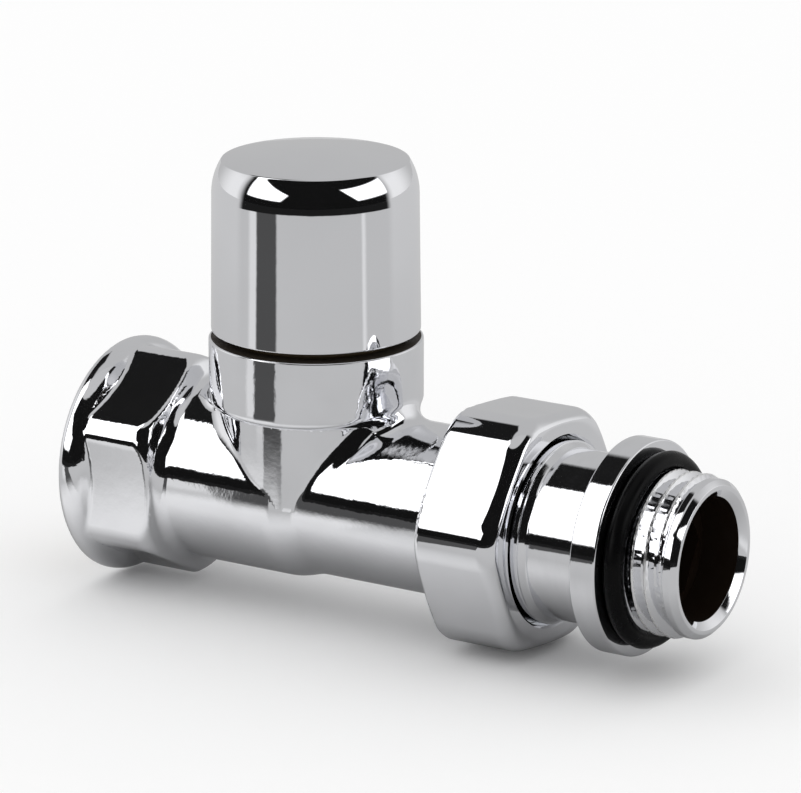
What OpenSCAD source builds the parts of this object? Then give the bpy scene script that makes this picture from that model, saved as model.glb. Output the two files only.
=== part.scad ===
// Straight shut-off valve for a radiator: female inlet socket, hand knob on top,
// and a swivelling tailpiece that a union nut holds on the outlet.
// The run axis is X, the spindle axis is parallel to Z. The origin is on the run axis,
// where the inlet thread starts, one chamfer inside the mouth.

/* [Run] */
// Distance from the start of the inlet thread to the spindle axis
axis_x = 29.5; // [27:0.5:34]
// Radius of the barrel on the inlet side
barrel_in_r = 11.85; // [11.4:0.05:12.4]
// Length over which the barrel narrows below the neck
barrel_step = 5; // [3:0.5:8]
// Where it starts to narrow, from the spindle axis
step_start = -1; // [-3:0.5:1]
// Radius of the water way through the barrel
run_bore_r = 7; // [6:0.1:7.4]

/* [Inlet socket] */
// Wall radius of the female inlet thread (minor radius of G 1/2)
socket_bore_r = 9.316; // [8.8:0.001:9.6]
// Length of the inlet thread
socket_thread = 12; // [10:0.5:13]
// Depth of the chamfer at the mouth
mouth_chamfer = 1; // [0.5:0.1:1.4]
// Outer radius of the collar at the mouth
collar_r = 15.6; // [15.2:0.1:17]
// Width of the collar
collar_w = 3.3; // [2.5:0.1:4]
// Radius of the round land between the wrench flats
socket_r = 14.95; // [14.4:0.05:15.1]
// Distance across the wrench flats
socket_af = 27; // [26.4:0.1:28]
// Length of the wrench flats
flat_len = 8.4; // [7:0.1:9.4]
// Turn of the wrench flats about the run axis
flat_turn = 2; // [-5:0.5:5]
// Length of the tapered end behind the flats
dome_len = 2.4; // [1.5:0.1:3]

/* [Neck and boss] */
// Outer radius of the boss under the knob
boss_r = 13.85; // [13.4:0.05:14.6]
// Height of the boss's top face above the run axis
boss_top = 20.3; // [19.5:0.1:22]
// Height of the boss's lower edge above the run axis
boss_bottom = 11.2; // [10.8:0.1:12]
// Rounding of the boss's lower edge
boss_edge = 1.3; // [0.8:0.1:1.8]
// Radius of the neck right under the boss
neck_r = 12.3; // [12:0.05:12.6]
// How much the neck narrows for each millimetre down
neck_draft = 0.13; // [0.1:0.01:0.16]
// Radius of the fillet between the neck and the barrel
tee_fillet_r = 3; // [2:0.1:3.6]

/* [Valve seat] */
// Radius of the hole in the seat
seat_hole_r = 4.4; // [3.8:0.1:4.6]
// Height of the seat's sealing face above the run axis
seat_z = 2.2; // [2:0.1:2.6]
// Height of the seat's ring above the chamber floor
seat_ring_h = 1; // [0.6:0.1:1.2]
// Width of the seat's sealing face
seat_ring_w = 0.9; // [0.6:0.1:1.2]
// Radius of the chamber above the seat
chamber_r = 8.4; // [8.2:0.1:8.6]
// Gap between the chamber's top and the bonnet's shank
chamber_gap = 0.2; // [0.1:0.05:0.4]
// Drop of the lower passage's axis below the run axis
lower_drop = 5; // [4.8:0.1:5.2]
// Rise of the upper passage's axis above the run axis
upper_rise = 4; // [3.8:0.1:4.2]

/* [Bonnet] */
// Radius of the bonnet's threaded shank
shank_r = 8.95; // [8.8:0.05:9.2]
// Height of the shank's lower end above the run axis
shank_bottom = 10.2; // [10.1:0.1:10.6]
// Radius of the bonnet's flange
flange_r = 11.6; // [11.2:0.1:11.7]
// Thickness of the bonnet's flange
flange_h = 1.3; // [1:0.1:1.6]
// Depth of the bonnet's inner shoulder below the boss's top
shoulder_drop = 0.5; // [0.4:0.1:0.8]
// Distance across the bonnet's hexagon
bonnet_af = 19; // [18:0.5:20]
// Height of the bonnet's hexagon
bonnet_hex_h = 4.8; // [4:0.1:5.4]
// Radius of the bonnet's upper barrel
bonnet_top_r = 7.2; // [6.8:0.1:7.6]
// Height of the bonnet's upper barrel
bonnet_top_h = 5; // [4.6:0.1:5.4]
// Distance across the hexagonal guide inside the shank
guide_af = 12.2; // [12.1:0.05:12.4]
// Section radius of the O-ring under the flange
bonnet_ring = 0.75; // [0.6:0.05:0.85]

/* [Gland nut] */
// Radius of the gland nut's threaded shank
gland_r = 5.45; // [5.2:0.05:5.6]
// Depth of the gland nut's shank
gland_depth = 3.8; // [3.4:0.1:4]
// Distance across the gland nut's hexagon
gland_af = 13; // [12:0.5:14]
// Height of the gland nut's hexagon
gland_hex_h = 2.6; // [2.2:0.1:3]

/* [Spindle] */
// Radius of the spindle's journal
journal_r = 3.5; // [3.3:0.05:3.6]
// Radius of the spindle's lower thread
spindle_thread_r = 4; // [3.8:0.05:4.1]
// Length of the spindle's thread in the plug when shut
plug_grip = 3.2; // [2.8:0.1:3.3]
// Lift of the plug for one turn of the spindle
thread_lead = 1.25; // [1:0.05:1.25]
// Turns of the knob from shut to open
knob_turns = 3; // [2:0.25:3]
// Radius of the spindle's collar
spindle_collar_r = 5.6; // [5.3:0.05:5.7]
// Thickness of the spindle's collar
spindle_collar_h = 1.3; // [1:0.1:1.5]
// Thickness of the thrust washer
thrust_h = 0.5; // [0.4:0.05:0.7]
// Section radius of the spindle's O-rings
spindle_ring = 0.6; // [0.5:0.05:0.7]
// Thickness of the circlip
clip_h = 0.8; // [0.6:0.1:1]
// Depth of the circlip's groove
clip_groove_depth = 0.5; // [0.4:0.05:0.6]
// Outer radius of the circlip
clip_r = 5; // [4.6:0.1:5.4]
// Height from the circlip to the serrations
serration_gap = 0.7; // [0.6:0.05:1]
// Tip radius of the serrations for the knob
serration_r = 3.3; // [3.1:0.05:3.4]
// Depth of the serrations
serration_depth = 0.4; // [0.3:0.05:0.5]
// Number of serrations
serrations = 18; // [12:2:24]
// Gap between the spindle's tip and the knob's insert
tip_gap = 0.5; // [0.4:0.1:0.8]

/* [Plug] */
// Radius of the rubber seal
seal_r = 6.2; // [6:0.1:6.4]
// Thickness of the rubber seal
seal_h = 2; // [1.6:0.1:2.2]
// Outer radius of the plug's cup
cup_r = 7.2; // [7:0.1:7.4]
// Thickness of the cup's floor
cup_h = 1.8; // [1.6:0.1:2]
// Distance across the plug's hexagon
plug_af = 12; // [11.8:0.05:12.05]
// Height of the plug's top, when shut, above the run axis
plug_top = 13.6; // [13:0.1:13.8]
// Radius of the washer under the seal
seal_washer_r = 3.7; // [3.4:0.1:3.8]
// Thickness of the washer under the seal
seal_washer_h = 0.5; // [0.4:0.1:0.7]
// Radius of the screw that holds the seal
screw_r = 1.5; // [1.25:0.05:1.6]
// Radius of that screw's head
screw_head_r = 2.8; // [2.6:0.1:3]
// Height of that screw's head
screw_head_h = 1.4; // [1.2:0.1:1.6]

/* [Knob] */
// Radius of the knob at its rim
knob_r = 13.5; // [13.2:0.05:14.2]
// How much the knob narrows from its rim to its top edge
knob_draft = 0.3; // [0.1:0.05:0.5]
// Height of the knob
knob_h = 23.3; // [22.6:0.1:25]
// Gap between the boss and the knob's rim
knob_gap = 1; // [0.6:0.1:1.4]
// Rounding of the knob's top edge
knob_edge = 4.2; // [3.5:0.1:5]
// Crown of the knob's top
knob_crown = 0.25; // [0.1:0.05:0.5]
// Wall of the knob's shell
knob_wall = 1.5; // [1.2:0.1:1.6]
// Outer radius of the hub in the knob's insert
hub_r = 5.6; // [5.2:0.1:6]
// Thickness of the closed end of that hub
hub_cap = 1.4; // [1.2:0.1:1.8]
// Height from the hub's lower end to the serrations
hub_lead = 0.2; // [0.1:0.05:0.4]
// Height from the hub's lower end to the spring ring's groove
finger_groove_inset = 1.4; // [1.2:0.1:1.8]
// Depth of the spring ring's groove
finger_groove_depth = 0.5; // [0.4:0.05:0.6]
// Number of ribs in the knob's insert
insert_ribs = 8; // [6:1:12]

/* [Union nut] */
// Wall of the union nut between its thread and its flats
nut_wall = 1.72; // [1.6:0.01:2.5]
// Length of the union nut
nut_len = 11.7; // [11:0.1:13]
// Turn of the union nut at rest
nut_turn = -5.5; // [-30:0.5:30]
// Distance from the spindle axis to the union nut's near face
nut_x = 24.7; // [23:0.1:26]
// Radius of the body's union thread (G 3/4)
union_thread_r = 13.22; // [13:0.01:13.3]
// Distance from the nut's near face to the start of the body's thread
thread_inset = 1.4; // [1:0.1:2]
// Thickness of the nut's retaining lip
lip_w = 2.3; // [2:0.1:2.6]
// Thickness of the split ring
split_h = 1.2; // [1:0.1:1.4]
// Depth of the split ring's groove
split_depth = 0.75; // [0.6:0.05:0.9]
// Length of the tailpiece's collar before the split ring
split_inset = 0.6; // [0.5:0.05:0.8]
// Axial play of the nut and of the tailpiece
end_gap = 0.2; // [0.1:0.05:0.3]

/* [Tailpiece] */
// How far the tailpiece's collar lies below the union thread
collar_step = 1.47; // [1.35:0.01:1.6]
// Length of that collar outside the union nut
collar_past = 0.8; // [0.6:0.05:1]
// Fillet between that collar and the tube
tail_fillet = 0.8; // [0.6:0.05:1]
// Distance from the union nut to the wall flange
tail_len = 9.5; // [8.5:0.1:30]
// Radius of the wall flange
tail_flange_r = 13.75; // [13.4:0.05:15]
// Thickness of the wall flange
tail_flange_w = 3.6; // [3:0.1:4.5]
// Radius of the male radiator thread (G 1/2)
tail_thread_r = 10.478; // [10.4:0.001:10.5]
// Length of the full male thread behind the O-ring
tail_thread_len = 4.4; // [4:0.1:9]
// Length of the plain lead-in after the thread
lead_len = 2.2; // [2:0.1:3]
// Radius of that lead-in
lead_r = 10.2; // [10:0.05:10.4]
// Section radius of the O-ring at the flange
wall_ring = 1.3; // [1.1:0.05:1.4]
// Width of the flange outside that O-ring
ring_margin = 1.25; // [1:0.05:1.5]
// Radius of the tailpiece's outer bore
tail_bore_r = 7.87; // [7.5:0.01:8]
// Depth of the tailpiece's outer bore
tail_bore_len = 6; // [5:0.1:7]
// Distance across the hexagon for the fitting key
key_af = 12; // [11:0.5:12]
// Length of the hexagon for the fitting key
key_len = 10; // [8:0.5:11]
// Radius of the tailpiece's spigot
spigot_r = 8.3; // [8.1:0.05:8.5]
// Section radius of the O-ring round the spigot
spigot_ring = 0.6; // [0.5:0.05:0.65]
// Length of the spigot in the body
spigot_len = 5.4; // [5:0.1:6]

/* [Fits] */
// Radial clearance of a running fit
run_fit = 0.06; // [0.04:0.01:0.08]
// Clearance of a loose fit
loose_fit = 0.3; // [0.25:0.05:0.4]
// Gap between faces that seat on each other
seat_fit = 0.05; // [0.02:0.01:0.1]

/* [Hidden] */

chrome = [0.78, 0.78, 0.8];
brass = [0.78, 0.62, 0.3];
steel = [0.62, 0.63, 0.65];
rubber = [0.08, 0.08, 0.08];
nylon = [0.85, 0.84, 0.8];

round_fn = 96;
ring_fn = 24;
// Overlap of joined forms, and how far a cut runs past a face
eps = 0.01;
over = 1;

// Places along the run, from the origin
mouth_x = -mouth_chamfer;
collar_end = mouth_x + collar_w;
flat_end = collar_end + flat_len;
dome_end = flat_end + dome_len;
nut_near = axis_x + nut_x;
nut_far = nut_near + nut_len;
lip_face = nut_far - lip_w;
split_x = lip_face - end_gap - split_h;
tail_face = split_x - split_inset;
body_end = tail_face - end_gap;
thread_start = nut_near + thread_inset;
spigot_x = tail_face - spigot_len;
spigot_groove_x = spigot_x + spigot_len / 2;
shoulder_x = nut_far + collar_past;
tail_flange_x = nut_far + tail_len;
wall_ring_x = tail_flange_x + tail_flange_w;
tail_thread_x = wall_ring_x + 2 * wall_ring;
lead_x = tail_thread_x + tail_thread_len;
tail_end = lead_x + lead_len;

// Radii of the tailpiece, of its two ring seats and of the barrel, and the nut's size
tail_collar_r = union_thread_r - collar_step;
tail_r = tail_collar_r - tail_fillet;
split_groove_r = tail_collar_r - split_depth;
wall_ring_seat_r = tail_flange_r - ring_margin - 2 * wall_ring;
barrel_out_r = tail_r;
nut_bore_r = union_thread_r + run_fit;
nut_af = 2 * (nut_bore_r + nut_wall);

// Heights along the spindle, from the run axis
chamber_floor = seat_z - seat_ring_h;
chamber_top = shank_bottom - chamber_gap;
bonnet_shoulder = boss_top - shoulder_drop;
collar_top = bonnet_shoulder - seat_fit - thrust_h - seat_fit;
collar_bottom = collar_top - spindle_collar_h;
hex_z = boss_top + flange_h;
barrel_z = hex_z + bonnet_hex_h;
bonnet_top = barrel_z + bonnet_top_h;
gland_bottom = bonnet_top - gland_depth;
gland_top = bonnet_top + gland_hex_h;
clip_z = gland_top + seat_fit;
serration_z = clip_z + clip_h + serration_gap;
plug_lift = thread_lead * knob_turns;
spindle_bottom = plug_top - plug_grip;
seal_z = seat_z + seat_fit / 2;
cup_z = seal_z + seal_h;
plug_hex_z = cup_z + cup_h;
knob_rim = boss_top + knob_gap;
knob_top = knob_rim + knob_h;
knob_top_r = knob_r - knob_draft;
knob_in_top = knob_top - knob_crown - knob_wall;
hub_bore_top = knob_in_top - hub_cap;
spindle_top = hub_bore_top - tip_gap;
lower_ring_z = (bonnet_shoulder + gland_bottom) / 2;
upper_ring_z = gland_bottom + gland_depth / 2;
hub_z = serration_z - hub_lead;
finger_groove_z = hub_z + finger_groove_inset;

// Radii of grooves on the spindle and on the knob's hub
clip_groove_r = journal_r - clip_groove_depth;
finger_groove_r = hub_r - finger_groove_depth;

// Points of an arc about [cx, cy] from angle a0 to angle a1
function arc(cx, cy, r, a0, a1, n = 8) =
    [for (i = [0:n]) let (a = a0 + (a1 - a0) * i / n) [cx + r * cos(a), cy + r * sin(a)]];

// Radius of the barrel at the distance x from the spindle axis: it narrows in a smooth step
function barrel_r(x) =
    let (t = min(max((x - step_start) / barrel_step, 0), 1))
    barrel_in_r + (barrel_out_r - barrel_in_r) * (1 - cos(180 * t)) / 2;

// Turned form about the run axis, from an outline in [radius, x]
module along_run() {
    rotate([0, 90, 0])
        rotate_extrude($fn = round_fn)
            children();
}

// Turned form about the spindle axis, from an outline in [radius, z]
module along_spindle() {
    translate([axis_x, 0, 0])
        rotate_extrude($fn = round_fn)
            children();
}

// Round bar about the spindle axis between two heights
module post(r, z0, z1, fn = round_fn) {
    translate([axis_x, 0, z0])
        cylinder(r = r, h = z1 - z0, $fn = fn);
}

// Hexagonal bar about the spindle axis, with its flats facing the run's ends
module hex_post(af, z0, z1) {
    translate([axis_x, 0, z0])
        rotate([0, 0, 30])
            cylinder(d = af / cos(30), h = z1 - z0, $fn = 6);
}

// The same bar with its upper corners cut back at 30 degrees, as on a turned hexagon
module chamfered_hex(af, z0, z1) {
    intersection() {
        hex_post(af, z0, z1);
        along_spindle()
            polygon([
                [0, z0 - over],
                [af, z0 - over],
                [af, z1 - af / 2 * tan(30)],
                [af / 2, z1],
                [0, z1]]);
    }
}

// Round bar about the run axis between two places
module bar(r, x0, x1) {
    translate([x0, 0, 0])
        rotate([0, 90, 0])
            cylinder(r = r, h = x1 - x0, $fn = round_fn);
}

// Ring of round section about the spindle axis
module spindle_ring_form(centre_r, section_r, z) {
    translate([axis_x, 0, z])
        rotate_extrude($fn = round_fn)
            translate([centre_r, 0])
                circle(r = section_r, $fn = ring_fn);
}

// Ring of round section about the run axis
module run_ring_form(centre_r, section_r, x) {
    translate([x, 0, 0])
        rotate([0, 90, 0])
            rotate_extrude($fn = round_fn)
                translate([centre_r, 0])
                    circle(r = section_r, $fn = ring_fn);
}

// Inlet socket: collar at the mouth, round land with six wrench flats, tapered end
module socket_form() {
    collar_edge = 1.2;
    dome_edge = 1.3;
    step_w = 0.7;
    along_run()
        polygon(concat(
            [[0, mouth_x]],
            arc(collar_r - collar_edge, mouth_x + collar_edge, collar_edge, -90, 0),
            arc(collar_r - collar_edge, collar_end - collar_edge, collar_edge, 0, 60),
            [[socket_af / 2, collar_end + step_w], [0, collar_end + step_w]]));
    intersection() {
        along_run()
            polygon(concat(
                [[0, collar_end - eps], [socket_r, collar_end - eps]],
                arc(socket_r - dome_edge, flat_end - dome_edge, dome_edge, 0, 50),
                [[barrel_in_r, dome_end], [0, dome_end]]));
        translate([collar_end - over, 0, 0])
            rotate([flat_turn, 0, 0])
                rotate([0, 90, 0])
                    cylinder(d = socket_af / cos(30), h = flat_len + dome_len + 2 * over, $fn = 6);
    }
}

// Barrel, with its smooth step below the neck and the union thread at its end
module barrel_form() {
    steps = 8;
    thread_chamfer = 0.8;
    along_run()
        polygon(concat(
            [[0, flat_end]],
            [[barrel_in_r, flat_end]],
            [for (i = [0:steps])
                let (x = step_start + barrel_step * i / steps) [barrel_r(x), axis_x + x]],
            [[barrel_out_r, thread_start],
             [union_thread_r - thread_chamfer, thread_start],
             [union_thread_r, thread_start + thread_chamfer],
             [union_thread_r, body_end - thread_chamfer],
             [union_thread_r - thread_chamfer, body_end],
             [0, body_end]]));
}

// Neck and boss, turned about the spindle axis
module boss_form() {
    rim = 0.35;
    neck_low_r = neck_r - neck_draft * boss_bottom;
    along_spindle()
        polygon(concat(
            [[0, 0], [neck_low_r, 0], [neck_r, boss_bottom]],
            arc(boss_r - boss_edge, boss_bottom + boss_edge, boss_edge, -90, 0),
            [[boss_r, boss_top - rim], [boss_r - rim, boss_top], [0, boss_top]]));
}

// Fillet between the neck and the barrel: a ball rolled along the corner
module tee_fillet() {
    turns = 72;
    arc_steps = 6;
    sink = 0.03;
    depth = 1.2;
    slope = atan(neck_draft);
    low_r = neck_r - neck_draft * boss_bottom - sink;
    // height where the ball touches the neck, from the barrel's radius on that side
    function touch_z(phi, rb) =
        let (a = low_r + tee_fillet_r * cos(slope), s = tee_fillet_r * sin(slope),
             qa = pow(neck_draft * sin(phi), 2) + 1,
             qb = 2 * a * neck_draft * pow(sin(phi), 2) - 2 * s,
             qc = pow(a * sin(phi), 2) + s * s - pow(rb + tee_fillet_r, 2))
        (-qb + sqrt(max(qb * qb - 4 * qa * qc, 0))) / (2 * qa);
    function section(phi) =
        let (rb = barrel_r((neck_r + tee_fillet_r) * cos(phi)) - sink,
             zt = touch_z(phi, rb),
             rho = low_r + neck_draft * zt + tee_fillet_r * cos(slope),
             zc = zt - tee_fillet_r * sin(slope),
             c = [rho * cos(phi), rho * sin(phi), zc],
             to_neck = [-cos(phi) * cos(slope), -sin(phi) * cos(slope), sin(slope)],
             k = -1 / (rb + tee_fillet_r),
             to_barrel = [0, c[1] * k, c[2] * k],
             span = acos(to_neck * to_barrel),
             inner_r = low_r + neck_draft * zt - depth,
             inner_y = inner_r * sin(phi),
             corner_z = sqrt(pow(rb - depth, 2) - pow(inner_y, 2)))
        concat(
            [for (i = [0:arc_steps])
                let (t = i / arc_steps,
                     w0 = sin((1 - t) * span) / sin(span),
                     w1 = sin(t * span) / sin(span))
                c + tee_fillet_r * (w0 * to_neck + w1 * to_barrel)],
            [c + tee_fillet_r * to_barrel + depth * to_barrel],
            [[inner_r * cos(phi), inner_y, corner_z]],
            [[inner_r * cos(phi), inner_y, max(zt, corner_z + 0.4)]]);
    rings = [for (k = [0:turns - 1]) section(360 * k / turns)];
    m = len(rings[0]);
    translate([axis_x, 0, 0])
        polyhedron(
            points = [for (ring = rings, p = ring) p],
            faces = [for (k = [0:turns - 1], i = [0:m - 1])
                let (n = (k + 1) % turns, j = (i + 1) % m)
                each [[k * m + i, k * m + j, n * m + j], [k * m + i, n * m + j, n * m + i]]],
            convexity = 6);
}

// Water ways: socket thread, inlet bore, lower passage, seat hole, chamber, outlet bore
module water_ways() {
    taper_len = 1.2;
    drill_tip = run_bore_r * tan(31);
    inlet_end = axis_x - chamber_r - drill_tip - 1.2;
    outlet_start = axis_x + chamber_r + 4;
    spigot_room = 0.6;
    seal_recess_r = shank_r + run_fit + 2 * bonnet_ring;
    // inlet thread, with its chamfer and the taper at its end
    along_run()
        polygon([
            [0, mouth_x - eps],
            [socket_bore_r + mouth_chamfer + eps, mouth_x - eps],
            [socket_bore_r, 0],
            [socket_bore_r, socket_thread],
            [run_bore_r, socket_thread + taper_len],
            [run_bore_r, inlet_end],
            [0, inlet_end + drill_tip]]);
    // lower passage, from the inlet bore to below the seat
    translate([inlet_end - over, 0, -lower_drop])
        rotate([0, 90, 0])
            cylinder(r = seat_hole_r, h = axis_x - inlet_end + over, $fn = round_fn);
    translate([axis_x, 0, -lower_drop])
        sphere(r = seat_hole_r, $fn = round_fn);
    // hole in the seat
    post(seat_hole_r, -lower_drop, seat_z + over);
    // chamber, with the seat's ring left standing on its floor
    difference() {
        post(chamber_r, chamber_floor, chamber_top + over);
        along_spindle()
            polygon([
                [0, chamber_floor - over],
                [seat_hole_r + seat_ring_w + seat_ring_h / 2, chamber_floor - over],
                [seat_hole_r + seat_ring_w + seat_ring_h / 2, chamber_floor],
                [seat_hole_r + seat_ring_w, seat_z],
                [0, seat_z]]);
    }
    // upper passage, from the chamber to the outlet bore
    translate([axis_x + chamber_r - over, 0, upper_rise])
        rotate([0, 90, 0])
            cylinder(r = seat_hole_r, h = outlet_start - axis_x - chamber_r + 2 * over,
                     $fn = round_fn);
    bar(run_bore_r, outlet_start, body_end + over);
    bar(spigot_r + run_fit, spigot_x - spigot_room, body_end + over);
    // threaded hole for the bonnet, and the recess for its O-ring
    post(shank_r + run_fit, chamber_top, boss_top + over);
    post(seal_recess_r, boss_top - 2 * bonnet_ring, boss_top + over);
}

// Forged body: socket, barrel, neck and boss in one piece
module valve_body() {
    color(chrome)
        union() {
            difference() {
                union() {
                    socket_form();
                    barrel_form();
                    boss_form();
                }
                water_ways();
            }
            tee_fillet();
        }
}

// Bonnet: threaded shank with a hexagonal guide, flange, hexagon and upper barrel
module bonnet() {
    chamfer = 0.6;
    rim = 0.3;
    room = 0.1;
    color(brass)
        difference() {
            union() {
                along_spindle()
                    polygon([
                        [0, shank_bottom],
                        [shank_r - chamfer, shank_bottom],
                        [shank_r, shank_bottom + chamfer],
                        [shank_r, boss_top],
                        [flange_r - rim, boss_top],
                        [flange_r, boss_top + rim],
                        [flange_r, hex_z - rim],
                        [flange_r - rim, hex_z],
                        [0, hex_z]]);
                chamfered_hex(bonnet_af, hex_z - eps, barrel_z);
                along_spindle()
                    polygon([
                        [0, barrel_z - eps],
                        [bonnet_top_r, barrel_z - eps],
                        [bonnet_top_r, bonnet_top - chamfer],
                        [bonnet_top_r - chamfer, bonnet_top],
                        [0, bonnet_top]]);
            }
            hex_post(guide_af, shank_bottom - over, collar_bottom);
            post(spindle_collar_r + loose_fit, collar_bottom - 2 * room, bonnet_shoulder);
            post(journal_r + run_fit, bonnet_shoulder - over, bonnet_top + over);
            post(gland_r + run_fit, gland_bottom - 2 * room, bonnet_top + over);
        }
}

// O-ring between the bonnet's flange and the body
module bonnet_o_ring() {
    color(rubber)
        spindle_ring_form(shank_r + bonnet_ring + run_fit / 2, bonnet_ring, boss_top - bonnet_ring);
}

// Gland nut: screwed into the bonnet's top, it holds the spindle
module gland_nut() {
    color(brass)
        difference() {
            union() {
                post(gland_r, gland_bottom, bonnet_top + eps);
                chamfered_hex(gland_af, bonnet_top, gland_top);
            }
            post(journal_r + run_fit, gland_bottom - over, gland_top + over);
        }
}

// Spindle: lower thread, collar, journal with two O-ring grooves, circlip groove, serrations
module spindle() {
    groove_r = journal_r - 2 * spindle_ring + run_fit;
    half_groove = spindle_ring + 0.15;
    tip_chamfer = 0.6;
    color(brass)
        union() {
            along_spindle()
                polygon([
                    [0, spindle_bottom],
                    [spindle_thread_r - tip_chamfer, spindle_bottom],
                    [spindle_thread_r, spindle_bottom + tip_chamfer],
                    [spindle_thread_r, collar_bottom],
                    [spindle_collar_r, collar_bottom],
                    [spindle_collar_r, collar_top],
                    [journal_r, collar_top],
                    [journal_r, lower_ring_z - half_groove],
                    [groove_r, lower_ring_z - half_groove],
                    [groove_r, lower_ring_z + half_groove],
                    [journal_r, lower_ring_z + half_groove],
                    [journal_r, upper_ring_z - half_groove],
                    [groove_r, upper_ring_z - half_groove],
                    [groove_r, upper_ring_z + half_groove],
                    [journal_r, upper_ring_z + half_groove],
                    [journal_r, clip_z],
                    [clip_groove_r, clip_z],
                    [clip_groove_r, clip_z + clip_h + seat_fit],
                    [journal_r, clip_z + clip_h + seat_fit],
                    [journal_r, hub_z],
                    [serration_r - serration_depth, serration_z],
                    [0, serration_z]]);
            translate([axis_x, 0, serration_z - eps])
                linear_extrude(height = spindle_top - serration_z + eps)
                    serrated_outline(serration_r);
        }
}

// Star outline of the serrated spindle end
module serrated_outline(tip_r) {
    polygon([for (i = [0:2 * serrations - 1])
        let (r = i % 2 == 0 ? tip_r : tip_r - serration_depth, a = 180 * i / serrations)
        [r * cos(a), r * sin(a)]]);
}

// O-ring in the spindle's lower groove
module spindle_o_ring_lower() {
    color(rubber)
        spindle_ring_form(journal_r - spindle_ring + run_fit, spindle_ring - run_fit / 2,
                          lower_ring_z);
}

// O-ring in the spindle's upper groove
module spindle_o_ring_upper() {
    color(rubber)
        spindle_ring_form(journal_r - spindle_ring + run_fit, spindle_ring - run_fit / 2,
                          upper_ring_z);
}

// Circlip above the gland nut, with its open mouth
module spindle_circlip() {
    mouth_w = 2.6;
    color(steel)
        difference() {
            post(clip_r, clip_z, clip_z + clip_h);
            post(clip_groove_r + seat_fit, clip_z - over, clip_z + clip_h + over);
            translate([axis_x, -mouth_w / 2, clip_z - over])
                cube([clip_r + over, mouth_w, clip_h + 2 * over]);
        }
}

// Thrust washer between the spindle's collar and the bonnet
module thrust_washer() {
    z = collar_top + seat_fit;
    color(nylon)
        difference() {
            post(spindle_collar_r, z, z + thrust_h);
            post(journal_r + run_fit, z - over, z + thrust_h + over);
        }
}

// Plug carrier: cup for the seal, hexagon that slides in the bonnet, nut thread inside
module plug_carrier() {
    rim_h = 1.2;
    rim = 0.3;
    shoulder = 0.4;
    hole_bottom = spindle_bottom - plug_lift - loose_fit;
    color(brass)
        difference() {
            union() {
                along_spindle()
                    polygon([
                        [seal_r + seat_fit, cup_z - rim_h],
                        [cup_r - rim, cup_z - rim_h],
                        [cup_r, cup_z - rim_h + rim],
                        [cup_r, plug_hex_z - shoulder],
                        [cup_r - shoulder, plug_hex_z],
                        [0, plug_hex_z],
                        [0, cup_z],
                        [seal_r + seat_fit, cup_z]]);
                hex_post(plug_af, plug_hex_z - eps, plug_top);
            }
            post(spindle_thread_r + run_fit, hole_bottom, plug_top + over);
            post(screw_r + seat_fit, cup_z - over, hole_bottom + over);
        }
}

// Rubber seal in the plug's cup
module plug_seal() {
    color(rubber)
        difference() {
            post(seal_r, seal_z, cup_z);
            post(screw_r + seat_fit, seal_z - over, cup_z + over);
        }
}

// Brass washer that spreads the screw's load over the seal
module seal_washer() {
    color(brass)
        difference() {
            post(seal_washer_r, seal_z - seal_washer_h, seal_z);
            post(screw_r + seat_fit, seal_z - seal_washer_h - over, seal_z + over);
        }
}

// Slotted screw that holds the washer and the seal on the plug
module seal_screw() {
    head_z = seal_z - seal_washer_h;
    head_edge = 0.5;
    slot_w = 0.7;
    slot_depth = 0.6;
    color(steel)
        difference() {
            union() {
                along_spindle()
                    polygon([
                        [0, head_z - screw_head_h],
                        [screw_head_r - head_edge, head_z - screw_head_h],
                        [screw_head_r, head_z - screw_head_h + head_edge],
                        [screw_head_r, head_z],
                        [0, head_z]]);
                post(screw_r, head_z - eps, plug_hex_z);
            }
            translate([axis_x - screw_head_r - over, -slot_w / 2, head_z - screw_head_h - over])
                cube([2 * (screw_head_r + over), slot_w, slot_depth + over]);
        }
}

// Inner radius of the knob's shell at a height
function shell_in_r(z) =
    knob_r - knob_wall - knob_draft * (z - knob_rim) / (knob_h - knob_edge);

// Knob shell: a cap with a drafted wall and a crowned top
module knob_shell() {
    rim_edge = 0.25;
    in_edge = knob_edge - knob_wall;
    in_edge_z = knob_in_top - in_edge;
    top_r = knob_top_r - knob_edge;
    crown_r = (top_r * top_r + knob_crown * knob_crown) / (2 * knob_crown);
    crown_a = asin(top_r / crown_r);
    color(chrome)
        along_spindle()
            polygon(concat(
                [[knob_r - knob_wall, knob_rim],
                 [knob_r - rim_edge, knob_rim],
                 [knob_r, knob_rim + rim_edge]],
                arc(knob_top_r - knob_edge, knob_top - knob_crown - knob_edge, knob_edge,
                    0, 90 - crown_a, 12),
                arc(0, knob_top - crown_r, crown_r, 90 - crown_a, 90, 6),
                [[0, knob_in_top]],
                arc(shell_in_r(in_edge_z) - in_edge, in_edge_z, in_edge, 90, 0, 6)));
}

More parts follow.
